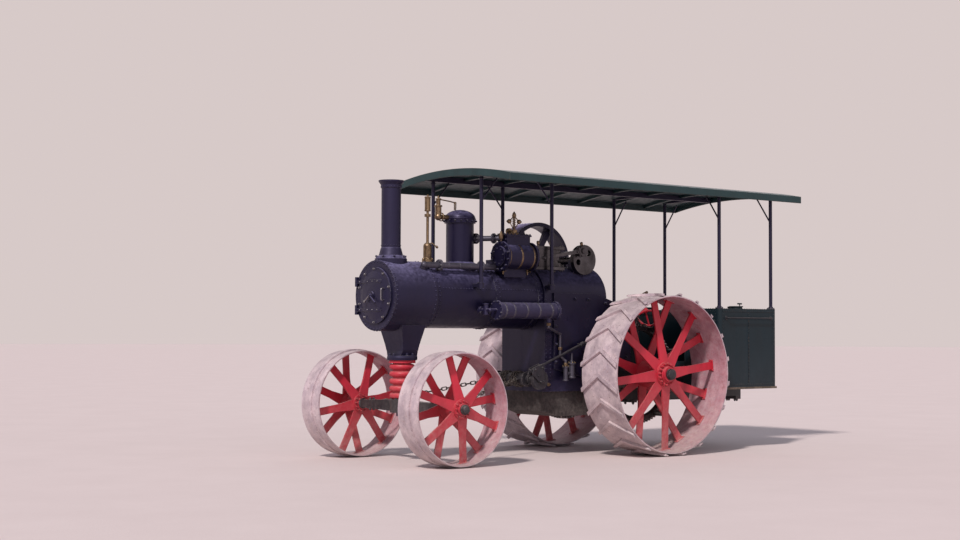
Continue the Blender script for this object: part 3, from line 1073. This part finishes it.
for y in (-0.3, 0.0, 0.3):
    stamp(bm, head(0.0085), along((TANK_BACK, y, 0.81), (TANK_BACK, y, 1.55), 19, REAR))
piece(bm, "tender_rivets", tender_green)

bm = bmesh.new()
rail = [(x, y, 1.56) for x, y in ((-1.7, TANK_SIDE), (-1.7, 0.992), (-2.485, 0.992), (-2.485, TANK_SIDE))]
grab = [(x, 0.86, z) for x, z in ((TANK_FRONT, 1.05), (-1.548, 1.05), (-1.548, 1.52), (TANK_FRONT, 1.52))]
join(bm, bar(eased(rail, 0.02), 0.009), bar(eased(grab, 0.018), 0.009))
for at, out in ((rail[0], LEFT), (rail[3], LEFT), (grab[0], FRONT), (grab[3], FRONT)):
    join(bm, turned([(0, 0), (0.024, 0), (0.024, 0.005), (0.012, 0.009), (0, 0.009)], 14, at, out))
mirrored(bm)
piece(bm, "tender_rails", dark_iron)

bm = bmesh.new()
y = 0.7
join(bm, turned([(0, 0), (0.026, 0), (0.026, 0.006), (0.016, 0.01), (0.016, 0.03), (0.02, 0.032), (0.02, 0.05),
                 (0, 0.052)], 16, (TANK_FRONT, y, 0.82), FRONT),
     bar(eased([(-1.548, y, 0.83), (-1.548, y, 0.87), (-1.548, y + 0.045, 0.87)], 0.008), 0.006),
     bar(eased([(-1.56, y, 0.812), (-1.56, y, 0.765), (-1.5, y, 0.765)], 0.015), 0.01))
mirrored(bm)
piece(bm, "tank_cocks", brass, 50)

# Drawbar: flat bar and cross plates bolted under the rails, worn bright round its pin hole.
bm = bmesh.new()
for x in (-2.565, -2.53, -0.7775):
    stamp(bm, nut(0.026), [facing((x, y, 0.566), DOWN) for y in (-0.33, -0.2, 0.2, 0.33)])
piece(bm, "drawbar_bolts", dark_iron)

# Canopy: tongued boards on bent ribs under dark green paint, with a deep board round the edge, and stout
# round posts whose feet are bolted to the boiler and tanks.
canopy_green, tree, shader = new_material("canopy green")
place = here(tree)
lines = add_node(tree, "Group", {"node_tree": boards}, Across=split(tree, place)["Y"], Width=0.107, Gap=0.0035).outputs
slope = sums(tree, "ABSOLUTE", split(tree, outward(tree))["Z"], 0.0)
groove = times(tree, lines["Joint"], sums(tree, "GREATER_THAN", slope, 0.5))
paint = mix(tree, lines["Board"], (0.009, 0.032, 0.036), (0.013, 0.042, 0.046))
paint = mix(tree, groove, paint, (0.006, 0.016, 0.018))
old = add_node(tree, "Group", {"node_tree": aged}, Paint=paint, Bare=(0.16, 0.12, 0.09, 1), Gloss=0.45, Wear=0.7,
               Dust=0.2, Climb=0.9, Edge=0.008, Dust_Tone=(0.22, 0.26, 0.3, 1)).outputs
stretched = add_node(tree, "Mapping", Vector=place, Scale=(2.5, 55, 55)).outputs[0]
grain = noise(tree, stretched, 1.0, 6)
relief = sums(tree, "SUBTRACT", times(tree, grain, 0.12), groove)
wire(shader, Base_Color=old["Colour"], Roughness=old["Roughness"], Metallic=old["Metallic"], Specular_IOR_Level=0.4,
     Normal=bumped(tree, relief, 0.6, 0.003, Normal=old["Normal"]))
dress(canopy_green, "canopy_roof")
post_black = aged_finish("post black", (0.009, 0.008, 0.02), 0.4, dust=0.2, climb=0.9, sheen=LAVENDER)
dress(post_black, "canopy_posts")
CANOPY_HALF, ARCH_R = 1.065, 5.2591
bm = bmesh.new()
for s in (-1, 1):
    join(bm, bar([(-2.912, s * CANOPY_HALF, 2.977), (1.717, s * CANOPY_HALF, 2.977)], 0.005, 8))
for x in (-2.9125, 1.7175):
    arch = [(x, y, 3.085 - ARCH_R + sqrt(ARCH_R ** 2 - y * y)) for y in (CANOPY_HALF * i / 12 for i in range(-12, 13))]
    join(bm, bar(arch, 0.005, 8))
piece(bm, "canopy_bead", canopy_green)
bm = bmesh.new()
for x in (-1.6375, -2.5475):
    for s in (-1, 1):
        join(bm, turned([(0.0215, 0), (0.048, 0), (0.048, 0.007), (0.03, 0.012), (0.028, 0.03), (0.0215, 0.034)], 20,
                        (x, s * 0.9, TANK_TOP)))
        stamp(bm, nut(0.013), around((x, s * 0.9, 1.677), "Z", 0.038, 4, start=45))
        join(bm, bar([(x, s * 0.9, 2.72), (x, s * 0.68, 3.035)], 0.009))
for x, reach in ((1.5925, -0.22), (0.5825, 0.22)):
    for y in (-0.432, 0.432):
        stamp(bm, nut(0.018), [facing((x - near, copysign(0.4, y), 1.905), UP) for near in (-0.014, 0.014)])
        join(bm, band(0.0335, 0.036, 0, 0.012, 0.002, 20, (x, y, 1.902)),
             turned([(0.0215, 0), (0.029, 0.002), (0.029, 0.012), (0.0215, 0.016)], 20, (x, y, 3.036)),
             bar([(x, y, 2.8), (x + reach, y, 3.062)], 0.009))
piece(bm, "canopy_braces", post_black)
